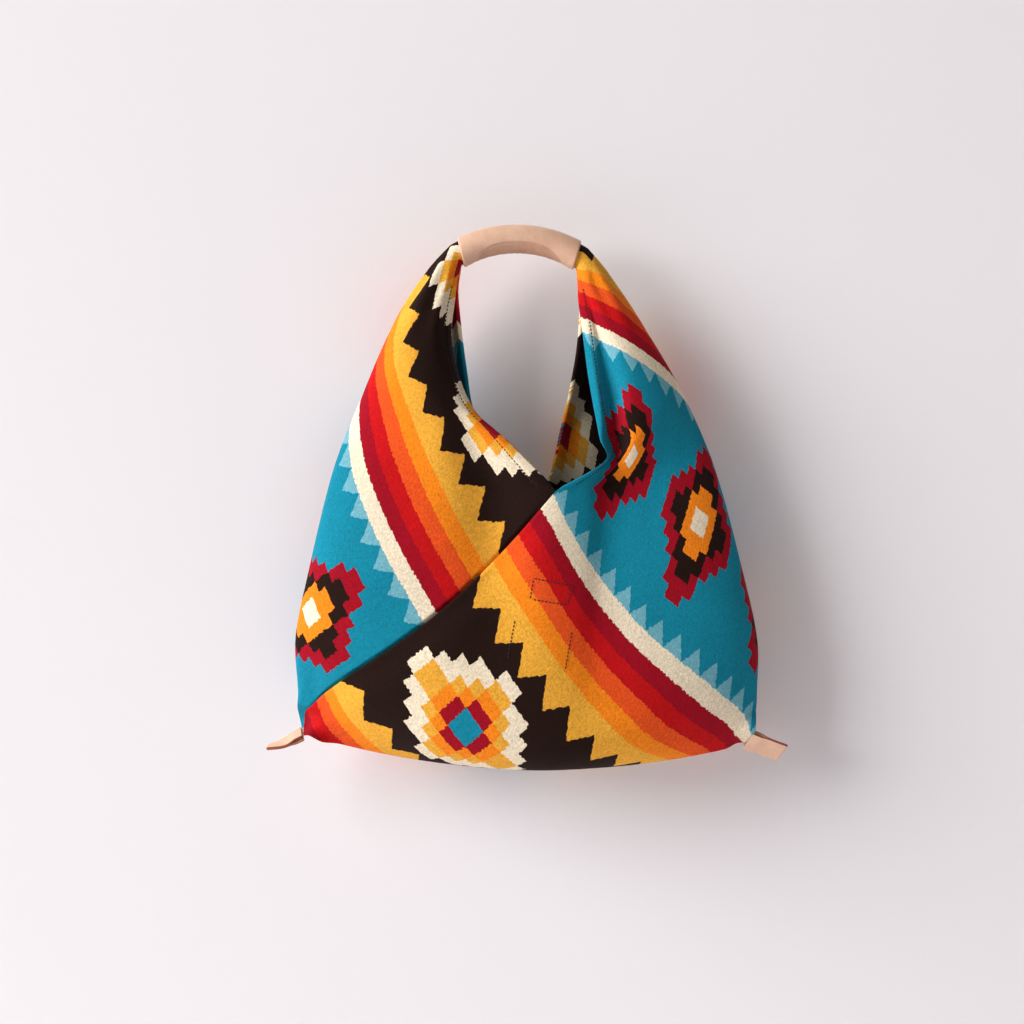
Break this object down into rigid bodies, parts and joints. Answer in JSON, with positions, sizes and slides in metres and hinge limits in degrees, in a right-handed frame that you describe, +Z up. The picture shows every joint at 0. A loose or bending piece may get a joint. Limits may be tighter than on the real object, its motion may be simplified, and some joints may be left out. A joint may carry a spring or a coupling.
{
  "type": "azuma bag",
  "caption": "Soft hand bag folded and sewn from one woven wool strip, with a V opening, ears rolled into a leather wrapped handle, and leather tabs on the bottom corners.",
  "frame": {"origin": "the hook seat, at the middle of the underside of the handle", "axes": "+Z up along the hanging line, +X to the right across the bag as seen from the front, +Y from the front to the back"},
  "size_m": [0.4443, 0.1066, 0.4658],
  "materials": {
    "wool_cloth": "napped woven wool with geometric bands",
    "natural_leather": "undyed smooth leather, edges burnished brown"
  },
  "bodies": {
    "root": {"cloth_body": "wool_cloth", "handle_wrap": "natural_leather", "corner_tab_left": "natural_leather", "corner_tab_right": "natural_leather"}
  },
  "joints": []
}
